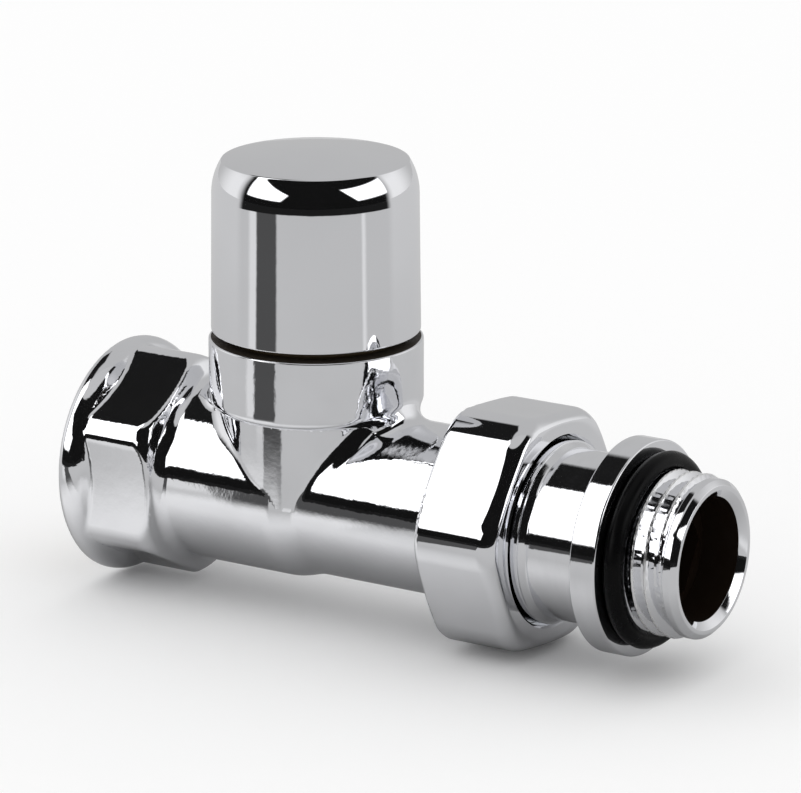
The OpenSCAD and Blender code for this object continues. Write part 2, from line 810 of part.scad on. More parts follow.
// Knob insert: hub with fingers that grip the serrations, ribs and a ring that fits the shell
module knob_insert() {
    skirt = 2;
    corner_gap = 0.2;
    disc_h = 1.6;
    ring_w = 1.1;
    rib_w = 1;
    rib_rise = 0.6;
    groove_half = 0.5;
    slot_w = 0.8;
    slot_past = 0.6;
    ring_z = hub_z - skirt;
    ring_top = knob_in_top - (knob_edge - knob_wall) - corner_gap;
    disc_z = ring_top - disc_h;
    ring_r = shell_in_r(ring_z) - seat_fit;
    rib_z = hub_z + rib_rise;
    slot_top = disc_z + slot_past;
    color(nylon)
        difference() {
            union() {
                post(hub_r, hub_z, knob_in_top - seat_fit);
                along_spindle()
                    polygon([
                        [ring_r - ring_w, ring_z],
                        [ring_r, ring_z],
                        [shell_in_r(ring_top) - seat_fit, ring_top],
                        [0, ring_top],
                        [0, disc_z],
                        [ring_r - ring_w, disc_z]]);
                intersection() {
                    post(ring_r - ring_w / 2, rib_z, disc_z + eps);
                    for (k = [0:insert_ribs - 1])
                        translate([axis_x, 0, 0])
                            rotate([0, 0, 360 * (k + 0.5) / insert_ribs])
                                translate([hub_r - over, -rib_w / 2, rib_z])
                                    cube([ring_r - hub_r + over, rib_w, disc_z - rib_z + over]);
                }
            }
            translate([axis_x, 0, hub_z - over])
                linear_extrude(height = hub_bore_top - hub_z + over)
                    serrated_outline(serration_r + run_fit);
            difference() {
                post(hub_r + over, finger_groove_z - groove_half, finger_groove_z + groove_half);
                post(finger_groove_r, finger_groove_z - over, finger_groove_z + over);
            }
            for (a = [0, 90])
                translate([axis_x, 0, 0])
                    rotate([0, 0, a])
                        translate([-hub_r - over, -slot_w / 2, hub_z - over])
                            cube([2 * (hub_r + over), slot_w, slot_top - hub_z + over]);
        }
}

// Spring ring round the hub's fingers
module knob_spring_ring() {
    wire_r = 0.45;
    mouth_w = 1.6;
    color(steel)
        difference() {
            spindle_ring_form(finger_groove_r + seat_fit + wire_r, wire_r, finger_groove_z);
            translate([axis_x, -mouth_w / 2, finger_groove_z - over])
                cube([hub_r + over, mouth_w, 2 * over]);
        }
}

// Union nut: hexagon with chamfered ends, thread inside and a lip that pulls the split ring
module union_nut() {
    end_r = nut_af / 2 - 0.2;
    end_chamfer = 1.2;
    entry = 0.4;
    hole_edge = 0.3;
    vertex_r = nut_af / cos(30) / 2;
    past_r = vertex_r + 0.2;
    hole_r = tail_collar_r + loose_fit + 0.1;
    color(chrome)
        difference() {
            intersection() {
                translate([nut_near, 0, 0])
                    rotate([30 + nut_turn, 0, 0])
                        rotate([0, 90, 0])
                            cylinder(r = vertex_r, h = nut_len, $fn = 6);
                along_run()
                    polygon([
                        [0, nut_near],
                        [end_r, nut_near],
                        [past_r, nut_near + end_chamfer],
                        [past_r, nut_far - end_chamfer],
                        [end_r, nut_far],
                        [0, nut_far]]);
            }
            along_run()
                polygon([
                    [0, nut_near - over],
                    [nut_bore_r + entry, nut_near - over],
                    [nut_bore_r + entry, nut_near],
                    [nut_bore_r, nut_near + entry],
                    [nut_bore_r, lip_face],
                    [hole_r, lip_face],
                    [hole_r, nut_far - hole_edge],
                    [hole_r + hole_edge, nut_far],
                    [hole_r + hole_edge, nut_far + over],
                    [0, nut_far + over]]);
        }
}

// Split ring: snapped into the tailpiece's groove, it keeps the nut on
module union_split_ring() {
    inner_r = split_groove_r + seat_fit;
    outer_r = union_thread_r - loose_fit;
    mouth_w = 2.4;
    color(steel)
        difference() {
            bar(outer_r, split_x, split_x + split_h);
            bar(inner_r, split_x - over, split_x + split_h + over);
            translate([split_x - over, -mouth_w / 2, 0])
                cube([split_h + 2 * over, mouth_w, outer_r + over]);
        }
}

// Tailpiece: spigot, grooved collar, tube, wall flange, male thread and key socket
module tailpiece() {
    edge = 0.3;
    spigot_edge = 0.5;
    spigot_groove_r = spigot_r - 2 * spigot_ring;
    half_groove = 0.9;
    lead_chamfer = 1;
    lead_bevel = 0.9;
    mouth_r = tail_bore_r + 1;
    mouth_len = 0.8;
    key_x = tail_end - tail_bore_len - key_len;
    color(chrome)
        difference() {
            along_run()
                polygon(concat(
                    [[0, spigot_x],
                     [spigot_r - spigot_edge, spigot_x],
                     [spigot_r, spigot_x + spigot_edge],
                     [spigot_r, spigot_groove_x - half_groove],
                     [spigot_groove_r, spigot_groove_x - half_groove],
                     [spigot_groove_r, spigot_groove_x + half_groove],
                     [spigot_r, spigot_groove_x + half_groove],
                     [spigot_r, tail_face],
                     [tail_collar_r - edge, tail_face],
                     [tail_collar_r, tail_face + edge],
                     [tail_collar_r, split_x - seat_fit],
                     [split_groove_r, split_x - seat_fit],
                     [split_groove_r, split_x + split_h + seat_fit],
                     [tail_collar_r, split_x + split_h + seat_fit]],
                    arc(tail_collar_r, shoulder_x + tail_fillet, tail_fillet, 270, 180, 5),
                    [[tail_r, tail_flange_x],
                     [tail_flange_r - edge, tail_flange_x],
                     [tail_flange_r, tail_flange_x + edge],
                     [tail_flange_r, wall_ring_x - edge],
                     [tail_flange_r - edge, wall_ring_x],
                     [wall_ring_seat_r, wall_ring_x],
                     [wall_ring_seat_r, tail_thread_x - edge],
                     [tail_thread_r, tail_thread_x],
                     [tail_thread_r, lead_x - edge],
                     [lead_r, lead_x],
                     [lead_r, tail_end - lead_chamfer],
                     [lead_r - lead_bevel, tail_end],
                     [0, tail_end]]));
            along_run()
                polygon([
                    [0, tail_end - tail_bore_len],
                    [tail_bore_r, tail_end - tail_bore_len],
                    [tail_bore_r, tail_end - mouth_len],
                    [mouth_r, tail_end],
                    [mouth_r, tail_end + over],
                    [0, tail_end + over]]);
            translate([key_x, 0, 0])
                rotate([0, 90, 0])
                    cylinder(d = key_af / cos(30), h = key_len + over, $fn = 6);
            bar(key_af / 2, spigot_x - over, key_x + over);
        }
}

// O-ring round the tailpiece's spigot
module spigot_o_ring() {
    color(rubber)
        run_ring_form(spigot_r - spigot_ring + run_fit / 2, spigot_ring, spigot_groove_x);
}

// O-ring that seals the flange on the radiator
module tail_o_ring() {
    color(rubber)
        run_ring_form(wall_ring_seat_r + wall_ring, wall_ring, wall_ring_x + wall_ring);
}

valve_body();
bonnet();
bonnet_o_ring();
gland_nut();
spindle();
spindle_o_ring_lower();
spindle_o_ring_upper();
spindle_circlip();
thrust_washer();
plug_carrier();
plug_seal();
seal_washer();
seal_screw();
knob_shell();
knob_insert();
knob_spring_ring();
union_nut();
union_split_ring();
tailpiece();
spigot_o_ring();
tail_o_ring();
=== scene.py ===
import math

import bpy
import numpy as np
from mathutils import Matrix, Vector


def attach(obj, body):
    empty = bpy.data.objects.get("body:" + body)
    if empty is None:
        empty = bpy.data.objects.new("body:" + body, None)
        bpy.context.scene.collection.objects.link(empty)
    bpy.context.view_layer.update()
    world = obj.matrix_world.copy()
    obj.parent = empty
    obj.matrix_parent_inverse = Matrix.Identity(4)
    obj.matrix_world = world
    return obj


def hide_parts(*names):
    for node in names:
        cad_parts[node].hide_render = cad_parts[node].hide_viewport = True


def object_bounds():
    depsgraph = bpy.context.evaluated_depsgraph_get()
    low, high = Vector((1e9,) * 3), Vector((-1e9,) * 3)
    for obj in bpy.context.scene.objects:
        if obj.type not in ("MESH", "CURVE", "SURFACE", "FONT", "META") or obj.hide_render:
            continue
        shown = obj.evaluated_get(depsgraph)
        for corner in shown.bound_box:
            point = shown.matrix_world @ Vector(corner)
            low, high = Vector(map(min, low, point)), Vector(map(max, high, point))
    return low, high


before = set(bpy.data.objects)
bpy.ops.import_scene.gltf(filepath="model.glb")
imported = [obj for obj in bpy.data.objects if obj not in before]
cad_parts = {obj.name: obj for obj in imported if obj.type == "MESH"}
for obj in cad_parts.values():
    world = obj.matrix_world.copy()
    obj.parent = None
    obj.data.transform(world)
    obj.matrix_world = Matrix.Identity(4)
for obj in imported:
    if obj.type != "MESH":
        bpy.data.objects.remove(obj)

cad_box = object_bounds()
bpy.ops.object.select_all(action="DESELECT")

# Studio
# The camera stands where the photographer stood: to the right of the front, a little above, with a
# long lens. The valve lies on a pale table in an even white light.
mm = 0.001
spindle_x = 29.5
azimuth, elevation = math.radians(32.31), math.radians(16.01)
to_camera = Vector((math.sin(azimuth) * math.cos(elevation), -math.cos(azimuth) * math.cos(elevation),
                    math.sin(elevation)))
to_right = Vector((math.cos(azimuth), math.sin(azimuth), 0))
aim = Vector((spindle_x, 0, 0)) + 10.846 * to_right + 11.612 * to_camera.cross(to_right)
camera_data = bpy.data.cameras.new("studio_camera")
camera_data.sensor_width = 36
camera_data.lens = 228.2
camera = bpy.data.objects.new("studio_camera", camera_data)
camera.location = (aim + 658.4 * to_camera) * mm
camera.rotation_mode = "QUATERNION"
camera.rotation_quaternion = (-to_camera).to_track_quat("-Z", "Y")
camera_data.clip_start, camera_data.clip_end = 0.05, 20
bpy.context.collection.objects.link(camera)
bpy.context.scene.camera = camera
bpy.context.scene.view_settings.view_transform = "Standard"


def calc(tree, kind, *values):
    """One Math node; its values are numbers or outputs of other nodes."""
    node = tree.nodes.new("ShaderNodeMath")
    node.operation = kind
    for socket, value in zip(node.inputs, values):
        if isinstance(value, (int, float)):
            socket.default_value = value
        else:
            tree.links.new(value, socket)
    return node.outputs[0]


def fade(tree, value, start, end):
    """0 at the start and 1 at the end, eased in between."""
    node = tree.nodes.new("ShaderNodeMapRange")
    node.interpolation_type = "SMOOTHSTEP"
    tree.links.new(value, node.inputs["Value"])
    node.inputs["From Min"].default_value = start
    node.inputs["From Max"].default_value = end
    return node.outputs["Result"]


def all_of(tree, *masks):
    """Where all masks hold."""
    product = masks[0]
    for mask in masks[1:]:
        product = calc(tree, "MULTIPLY", product, mask)
    return product


def lay(tree, under, mask, level):
    """A level laid over another one where the mask holds."""
    node = tree.nodes.new("ShaderNodeMix")
    for socket, value in zip((node.inputs[0], node.inputs[2], node.inputs[3]), (mask, under, level)):
        if isinstance(value, (int, float)):
            socket.default_value = value
        else:
            tree.links.new(value, socket)
    return node.outputs[0]


def bearing(tree, place):
    """Angle to the camera's side, in degrees: 0 in front, below 0 on the left, and the height."""
    turn = tree.nodes.new("ShaderNodeVectorRotate")
    turn.rotation_type = "Z_AXIS"
    turn.inputs["Angle"].default_value = -azimuth
    split = tree.nodes.new("ShaderNodeSeparateXYZ")
    tree.links.new(place, turn.inputs["Vector"])
    tree.links.new(turn.outputs[0], split.inputs[0])
    x, y, z = split.outputs
    angle = calc(tree, "ARCTAN2", x, calc(tree, "MULTIPLY", y, -1.0))
    return calc(tree, "DEGREES", angle), x, y, z


# The room as polished metal sees it: dark behind the camera, a softbox on either side of it, a
# lit panel overhead and a pale wall behind. All else sees plain white.
world = bpy.data.worlds.new("white_studio")
world.use_nodes = True
room = world.node_tree
way = room.nodes.new("ShaderNodeTexCoord")
side, _, _, height = bearing(room, way.outputs["Generated"])
rise = calc(room, "DEGREES", calc(room, "ARCSINE", height))
aside = calc(room, "ABSOLUTE", side)
level = lay(room, 0.006, fade(room, rise, 57, 60), 0.54)
back_glow = all_of(room, fade(room, aside, 88, 98), fade(room, aside, 150, 108), fade(room, rise, 48, 20))
level = lay(room, level, fade(room, aside, 84, 92), calc(room, "MULTIPLY_ADD", back_glow, 0.36, 0.50))
ceiling_gap = all_of(room, fade(room, side, -92, -98), fade(room, side, -170, -162),
                     fade(room, rise, 46, 49), fade(room, rise, 78, 70))
level = lay(room, level, ceiling_gap, 0.01)
left_edge = calc(room, "MULTIPLY_ADD", fade(room, rise, 34, 57), 20.0, side)
right_edge = calc(room, "MULTIPLY_ADD", rise, -0.65, side)
left_box = all_of(room, fade(room, left_edge, -83, -80), fade(room, right_edge, -43, -47),
                  fade(room, rise, 8.5, 10.5),
                  fade(room, calc(room, "MULTIPLY_ADD", side, 0.45, rise), 9, 7))
left_box = calc(room, "MAXIMUM", left_box, all_of(
    room, fade(room, left_edge, -83, -80), fade(room, side, -66, -70), fade(room, rise, 8.5, 10.5),
    fade(room, rise, 68, 65)))
right_box = all_of(room, fade(room, side, 90, 87), fade(room, rise, 8, 10.5), fade(room, rise, 33, 30.5),
                   fade(room, calc(room, "MULTIPLY_ADD", rise, 0.8, side), 55, 58))
level = lay(room, level, calc(room, "MAXIMUM", left_box, right_box), 1.7)
ray = room.nodes.new("ShaderNodeLightPath")
level = lay(room, 1.0, ray.outputs["Is Glossy Ray"], level)
room.links.new(level, room.nodes["Background"].inputs["Strength"])
room.nodes["Background"].inputs["Color"].default_value = (1, 1, 1, 1)
bpy.context.scene.world = world

# A wide white sheet. Polished metal sees painted light and shade on it: painted light close by and in a strip on
# either side, a painted dark strip on the left, and painted shade where it ends in front.
bpy.ops.mesh.primitive_plane_add(size=8, location=(spindle_x * mm, 0, cad_box[0].z - 0.0002))
table = bpy.context.object
table.name = "table"
bpy.ops.object.transform_apply(location=True)
table_with_painted_light = bpy.data.materials.new("table_with_painted_light")
table_with_painted_light.use_nodes = True
sheet = table_with_painted_light.node_tree
spot = sheet.nodes.new("ShaderNodeVectorMath")
spot.inputs[1].default_value = (-spindle_x * mm, 0, 0)
sheet.links.new(sheet.nodes.new("ShaderNodeTexCoord").outputs["Object"], spot.inputs[0])
side, x, y, _ = bearing(sheet, spot.outputs[0])
apart = sheet.nodes.new("ShaderNodeSeparateXYZ")
sheet.links.new(spot.outputs[0], apart.inputs[0])
along_y = apart.outputs["Y"]
aside = calc(sheet, "ABSOLUTE", side)
reach = calc(sheet, "MULTIPLY", calc(sheet, "SQRT", calc(
    sheet, "ADD", calc(sheet, "MULTIPLY", x, x), calc(sheet, "MULTIPLY", y, y))), 1000.0)
# Painted light and shade for glossy rays only: the sheet's colour varies by place to stand in for how light falls on
# it.
near_left = calc(sheet, "MULTIPLY_ADD", fade(sheet, side, -50, -40), 24.0, reach)
level = lay(sheet, 0.86, fade(sheet, near_left, 50, 82), 0.53)
level = lay(sheet, level, all_of(sheet, fade(sheet, side, -78, -72), fade(sheet, side, -64, -67),
                                 fade(sheet, reach, 60, 110)), 0.72)
level = lay(sheet, level, all_of(sheet, fade(sheet, side, -67, -64), fade(sheet, side, -40, -43),
                                 fade(sheet, reach, 42, 88)), 0.075)
level = lay(sheet, level, all_of(sheet, fade(sheet, side, 50, 53), fade(sheet, side, 58, 53.5),
                                 fade(sheet, reach, 60, 110)), 0.74)
level = lay(sheet, level, all_of(sheet, fade(sheet, aside, 84, 96), fade(sheet, reach, 100, 250)), 0.60)
level = lay(sheet, level, all_of(sheet, fade(sheet, aside, 92, 84), fade(sheet, reach, 262, 285)), 0.012)
# Painted shadow: the table is darker along the run under the valve, as polished metal sees it.
off_run = calc(sheet, "MULTIPLY", calc(sheet, "ABSOLUTE", along_y), 1000.0)
level = lay(sheet, level, all_of(sheet, fade(sheet, off_run, 30, 6), fade(sheet, reach, 95, 60)), 0.40)
ray = sheet.nodes.new("ShaderNodeLightPath")
level = lay(sheet, 0.985, ray.outputs["Is Glossy Ray"], level)
sheet.links.new(level, sheet.nodes["Principled BSDF"].inputs["Base Color"])
sheet.nodes["Principled BSDF"].inputs["Roughness"].default_value = 0.9
sheet.nodes["Principled BSDF"].inputs["Specular IOR Level"].default_value = 0.0
table.data.materials.append(table_with_painted_light)


def finish_paint(name, colour, metallic, roughness, grain, depth, stretch=(1, 1, 1), shine=0.5):
    """A surface with fine unevenness: its grain per metre, its depth in mm, and its stretch."""
    paint = bpy.data.materials.new(name)
    paint.use_nodes = True
    tree = paint.node_tree
    shader = tree.nodes["Principled BSDF"]
    shader.inputs["Metallic"].default_value = metallic
    shader.inputs["Specular IOR Level"].default_value = shine
    place = tree.nodes.new("ShaderNodeMapping")
    place.inputs["Scale"].default_value = stretch
    tree.links.new(tree.nodes.new("ShaderNodeTexCoord").outputs["Object"], place.inputs["Vector"])
    fine, broad = (tree.nodes.new("ShaderNodeTexNoise") for _ in range(2))
    for noise, scale, detail in ((fine, grain, 3), (broad, grain * 0.22, 2)):
        tree.links.new(place.outputs[0], noise.inputs["Vector"])
        noise.inputs["Scale"].default_value = scale
        noise.inputs["Detail"].default_value = detail
    tint = tree.nodes.new("ShaderNodeMix")
    tint.data_type = "RGBA"
    tree.links.new(broad.outputs["Fac"], tint.inputs[0])
    tint.inputs[6].default_value = (*(c * 0.93 for c in colour), 1)
    tint.inputs[7].default_value = (*(min(1, c * 1.05) for c in colour), 1)
    tree.links.new(tint.outputs[2], shader.inputs["Base Color"])
    gloss = tree.nodes.new("ShaderNodeMapRange")
    tree.links.new(broad.outputs["Fac"], gloss.inputs["Value"])
    gloss.inputs["From Min"].default_value = 0.35
    gloss.inputs["From Max"].default_value = 0.75
    gloss.inputs["To Min"].default_value = roughness
    gloss.inputs["To Max"].default_value = roughness * 1.7
    tree.links.new(gloss.outputs[0], shader.inputs["Roughness"])
    relief = lay(tree, fine.outputs["Fac"], 0.6, broad.outputs["Fac"])
    bump = tree.nodes.new("ShaderNodeBump")
    bump.inputs["Strength"].default_value = 1.0
    bump.inputs["Distance"].default_value = depth * mm
    tree.links.new(relief, bump.inputs["Height"])
    tree.links.new(bump.outputs[0], shader.inputs["Normal"])
    return paint


# Forged body
# Hot-forged brass, ground and chrome plated: collar and wrench flats at the socket, barrel, neck and
# boss run into each other in soft fillets. The water ways are drilled, the two ends are threaded.
def begin_piece():
    """Nothing selected, so that an operator acts on the new piece alone."""
    if bpy.context.object and bpy.context.object.mode != "OBJECT":
        bpy.ops.object.mode_set(mode="OBJECT")
    bpy.ops.object.select_all(action="DESELECT")


def eased(points, arc_steps=6):
    """Outline of (along, radius, ease) corners with each eased corner turned to an arc."""
    outline = []
    for i, (u, r, ease) in enumerate(points):
        if not ease:
            outline.append((u, r))
            continue
        corner = np.array((u, r))
        before = np.array(points[i - 1][:2]) - corner
        after = np.array(points[(i + 1) % len(points)][:2]) - corner
        before, after = before / np.hypot(*before), after / np.hypot(*after)
        half = math.acos(max(-1, min(1, before @ after))) / 2
        middle = (before + after) / np.hypot(*(before + after))
        centre = corner + middle * ease / math.sin(half)
        start = corner + before * ease / math.tan(half) - centre
        end = corner + after * ease / math.tan(half) - centre
        span = math.pi - 2 * half
        for k in range(arc_steps + 1):
            t = k / arc_steps
            point = centre + (math.sin((1 - t) * span) * start + math.sin(t * span) * end) / math.sin(span)
            outline.append(tuple(point))
    return outline


def turned(name, outline, axis="X", steps=160, closed=True):
    """Lathe: spins an outline of (along, radius) points, in mm, round the run or the spindle."""
    begin_piece()
    if axis == "X":
        places = [Vector((u * mm, 0, r * mm)) for u, r in outline]
        centre, turn_axis = (0, 0, 0), (1, 0, 0)
    else:
        places = [Vector(((spindle_x + r) * mm, 0, u * mm)) for u, r in outline]
        centre, turn_axis = (spindle_x * mm, 0, 0), (0, 0, 1)
    bpy.ops.mesh.primitive_plane_add(size=mm, location=places[0])
    piece = bpy.context.object
    piece.name = name
    bpy.ops.object.mode_set(mode="EDIT")
    bpy.ops.mesh.merge(type="CENTER")
    if closed:
        places.append(places[0])
    for a, b in zip(places, places[1:]):
        bpy.ops.mesh.extrude_vertices_move(TRANSFORM_OT_translate={"value": b - a})
    bpy.ops.mesh.select_all(action="SELECT")
    bpy.ops.mesh.spin(steps=steps, angle=2 * math.pi, center=centre, axis=turn_axis)
    bpy.ops.mesh.select_all(action="SELECT")
    bpy.ops.mesh.remove_doubles(threshold=1e-6)
    bpy.ops.mesh.delete_loose()
    bpy.ops.mesh.select_all(action="SELECT")
    bpy.ops.mesh.normals_make_consistent(inside=False)
    bpy.ops.object.mode_set(mode="OBJECT")
    bpy.ops.object.transform_apply(location=True, rotation=True, scale=True)
    return piece


def modify(piece, kind, **settings):
    """Adds one modifier and applies it."""
    begin_piece()
    piece.select_set(True)
    bpy.context.view_layer.objects.active = piece
    modifier = piece.modifiers.new(kind.lower(), kind)
    for key, value in settings.items():
        setattr(modifier, key, value)
    bpy.ops.object.modifier_apply(modifier=modifier.name)


def cut(piece, *tools):
    """Cuts the tools out of the piece and throws them away."""
    for tool in tools:
        modify(piece, "BOOLEAN", object=tool, operation="DIFFERENCE", solver="EXACT")
        bpy.data.objects.remove(tool)


def join_solids(piece, *others):
    """Fuses other solids with the piece."""
    for other in others:
        modify(piece, "BOOLEAN", object=other, operation="UNION", solver="EXACT")
        bpy.data.objects.remove(other)


def smooth(piece, angle=30):
    """Smooth shading, sharp where two faces meet at more than the angle."""
    begin_piece()
    piece.select_set(True)
    bpy.context.view_layer.objects.active = piece
    bpy.ops.object.shade_smooth_by_angle(angle=math.radians(angle))


def blended(a, b, radius, cosine=0.0):
    """Union of two forms, with a ball of that radius rolled along the corner. The cosine is that of
    the angle between the directions in which the two forms face."""
    u, v = radius - a, radius - b
    rolled = np.minimum(u, v) > np.maximum(u, v) * np.maximum(cosine, 0)
    rolled &= (u > 0) & (v > 0) & (v > u * cosine) & (u > v * cosine)
    reach = np.sqrt(np.maximum(u * u + v * v - 2 * u * v * cosine, 0) / np.maximum(1 - cosine ** 2, 1e-4))
    return np.where(rolled, radius - reach, np.minimum(a, b))


def bounded(a, b, radius):
    """Where two forms overlap, with the edge rounded to that radius."""
    u, v = np.maximum(radius + a, 0), np.maximum(radius + b, 0)
    return np.minimum(-radius, np.maximum(a, b)) + np.hypot(u, v)


def ground(piece, form, voxel, passes=3):
    """Grinds a rough blank to a finished form: an even skin of small faces, moved on to the form."""
    modify(piece, "REMESH", mode="VOXEL", voxel_size=voxel * mm)
    bpy.context.view_layer.objects.active = piece
    points = np.empty(len(piece.data.vertices) * 3)
    step = 0.01
    for k in range(passes):
        piece.data.vertices.foreach_get("co", points)
        place = points.reshape(-1, 3) / mm
        for _ in range(2):
            off = form(place)
            slope = np.stack([(form(place + step * e) - form(place - step * e)) / (2 * step)
                              for e in np.eye(3)], 1)
            place = place - (off / np.maximum((slope ** 2).sum(1), 0.3))[:, None] * slope
        piece.data.vertices.foreach_set("co", (place * mm).ravel())
        piece.data.update()
        if k < passes - 1:
            bpy.ops.object.mode_set(mode="EDIT")
            bpy.ops.mesh.select_all(action="SELECT")
            bpy.ops.mesh.vertices_smooth(factor=0.5, repeat=2)
            bpy.ops.object.mode_set(mode="OBJECT")


def true_slope(piece, form):
    """Gives a ground piece the exact slope of its form, so that reflections run clean over it."""
    mesh = piece.data
    corners, points = np.empty(len(mesh.loops) * 3), np.empty(len(mesh.vertices) * 3)
    owners = np.empty(len(mesh.loops), dtype=int)
    mesh.corner_normals.foreach_get("vector", corners)
    mesh.loops.foreach_get("vertex_index", owners)
    mesh.vertices.foreach_get("co", points)
    corners, place = corners.reshape(-1, 3), points.reshape(-1, 3) / mm
    slope = np.stack([form(place + 0.02 * e) - form(place - 0.02 * e) for e in np.eye(3)], 1)
    slope = (slope / np.maximum(np.linalg.norm(slope, axis=1), 1e-9)[:, None])[owners]
    on_form = (np.abs(form(place))[owners] < 0.03) & ((corners * slope).sum(1) > 0.93)
    corners[on_form] = slope[on_form]
    mesh.normals_split_custom_set(corners.tolist())


def body_form(place):
    """How far a place lies outside the forging, in mm."""
    x, y, z = place[:, 0] - spindle_x, place[:, 1], place[:, 2]
    r = np.hypot(y, z)
    rho = np.hypot(x, y)
    # collar at the mouth
    collar = bounded(bounded(r - 15.6, -30.5 - x, 1.1), (x + 27.9) * 0.8 + (r - 15.6) * 0.6, 1.0)
    # land with six wrench flats, and the tapered end behind it
    land = bounded(r - 14.95, 0.887 * x + 0.463 * r + 9.237, 1.1)
    for k in range(6):
        turn = math.radians(2 + 60 * k)
        land = bounded(land, y * math.cos(turn) + z * math.sin(turn) - 13.5, 0.35)
    land = np.maximum(land, -28.6 - x)
    socket = blended(collar, land, 0.35)
    # barrel, narrower on the outlet side
    t = np.clip((x + 1) / 5, 0, 1)
    barrel = np.maximum(r - (11.85 - 0.9 * (1 - np.cos(np.pi * t)) / 2), np.maximum(-28 - x, x - 27))
    # neck and boss
    neck = np.maximum((rho - 11.9 + 0.03 * (11.2 - z)) / math.hypot(1, 0.03), np.maximum(-z, z - 13))
    boss = np.maximum(bounded(rho - 13.85, 11.2 - z, 1.3), z - 21)
    stem = blended(boss, neck, 0.25)
    facing = (y * y / (rho * r) + 0.03 * z / r) / math.hypot(1, 0.03)
    return blended(blended(socket, barrel, 1.0), stem, 3.0, np.clip(facing, -0.5, 0.999))


body = turned("forged_body", [(-0.6, 0), (-0.6, 15), (2.4, 15.2), (2.6, 14), (11, 14), (13, 11.6), (29, 11.6),
                              (33, 10.8), (56.4, 10.8), (56.4, 0)], steps=64)
stem = turned("stem", [(0, 0), (0, 10.5), (11.3, 12), (11.6, 13.6), (20.9, 13.6), (20.9, 0)], axis="Z", steps=64)
join_solids(body, stem)
ground(body, body_form, 0.34)
join_solids(body, turned("union_thread", eased([(55.6, 9.5, 0), (55.6, 13.22, 0.4), (61.4, 13.22, 0.4),
                                                (61.4, 9.5, 0)])))


def thread_ridge(name, section, pitch, start, turns, steps, run_out=0.3):
    """Helical ridge round the run axis: a closed (along, radius) section, wound up, faded at both ends."""
    begin_piece()
    places = [Vector(((start + u) * mm, 0, r * mm)) for u, r in section]
    bpy.ops.mesh.primitive_plane_add(size=mm, location=places[0])
    ridge = bpy.context.object
    ridge.name = name
    bpy.ops.object.mode_set(mode="EDIT")
    bpy.ops.mesh.merge(type="CENTER")
    for a, b in zip(places, places[1:] + places[:1]):
        bpy.ops.mesh.extrude_vertices_move(TRANSFORM_OT_translate={"value": b - a})
    bpy.ops.mesh.select_all(action="SELECT")
    bpy.ops.mesh.remove_doubles(threshold=1e-6)
    bpy.ops.object.mode_set(mode="OBJECT")
    bpy.ops.object.transform_apply(location=True, rotation=True, scale=True)
    modify(ridge, "SCREW", axis="X", angle=2 * math.pi * turns, screw_offset=pitch * mm * turns,
           iterations=1, steps=round(steps * turns), render_steps=round(steps * turns))
    root = min(r for _, r in section)
    for v in ridge.data.vertices:
        turn = (v.index // len(section)) / steps
        fade = min(1, turn / run_out, (turns - turn) / run_out)
        r = math.hypot(v.co.y, v.co.z)
        k = (root * mm + (r - root * mm) * max(0.02, fade)) / r
        v.co.y, v.co.z = v.co.y * k, v.co.z * k
    bpy.ops.object.mode_set(mode="EDIT")
    bpy.ops.mesh.select_all(action="SELECT")
    bpy.ops.mesh.fill_holes(sides=len(section))
    bpy.ops.mesh.select_all(action="SELECT")
    bpy.ops.mesh.normals_make_consistent(inside=False)
    bpy.ops.object.mode_set(mode="OBJECT")
    return ridge


inlet_drill = turned("inlet_drill", [(-2, 0), (-2, 11.4), (0.05, 9.35), (12, 9.35), (13.2, 7), (15.7, 7), (19.9, 0)])
tap = thread_ridge("tap", [(-0.85, 9.2), (-0.16, 10.45), (0.16, 10.45), (0.85, 9.2)], 1.814, -1.2, 7.2, 72)
seat_drill = turned("seat_drill", [(-5, 0), (-5, 4.4), (2.2, 4.4), (2.2, 5.3), (1.2, 5.8), (1.2, 8.4), (10, 8.4),
                                   (10, 9.01), (18.8, 9.01), (18.8, 10.51), (20.3, 10.51)]
                    + [(20.0 + 0.3 * math.cos(a), 13.55 + 0.3 * math.sin(a))
                       for a in np.linspace(0, math.pi / 2, 7)] + [(19.9, 14.4), (21.5, 14.4), (21.5, 0)], axis="Z")
lower_drill = turned("lower_drill", [(14.7, 0), (14.7, 4.4)] + [
    (spindle_x + 4.4 * math.sin(a), 4.4 * math.cos(a)) for a in np.linspace(0, math.pi / 2, 10)], steps=64)
upper_drill = turned("upper_drill", [(36.9, 0), (36.9, 4.4), (42.9, 4.4), (42.9, 0)], steps=64)
for tool, drop in ((lower_drill, -5), (upper_drill, 4)):
    begin_piece()
    tool.select_set(True)
    bpy.context.view_layer.objects.active = tool
    bpy.ops.transform.translate(value=(0, 0, drop * mm))
    bpy.ops.object.transform_apply(location=True, rotation=True, scale=True)
outlet_drill = turned("outlet_drill", [(41.9, 0), (41.9, 7), (55.6, 7), (55.6, 8.36), (62.4, 8.36), (62.4, 0)])
join_solids(inlet_drill, tap, lower_drill, seat_drill, upper_drill, outlet_drill)
cut(body, inlet_drill)
bpy.ops.object.mode_set(mode="EDIT")
bpy.ops.mesh.select_all(action="SELECT")
bpy.ops.mesh.fill_holes(sides=4)
bpy.ops.object.mode_set(mode="OBJECT")
smooth(body, 32)
true_slope(body, body_form)

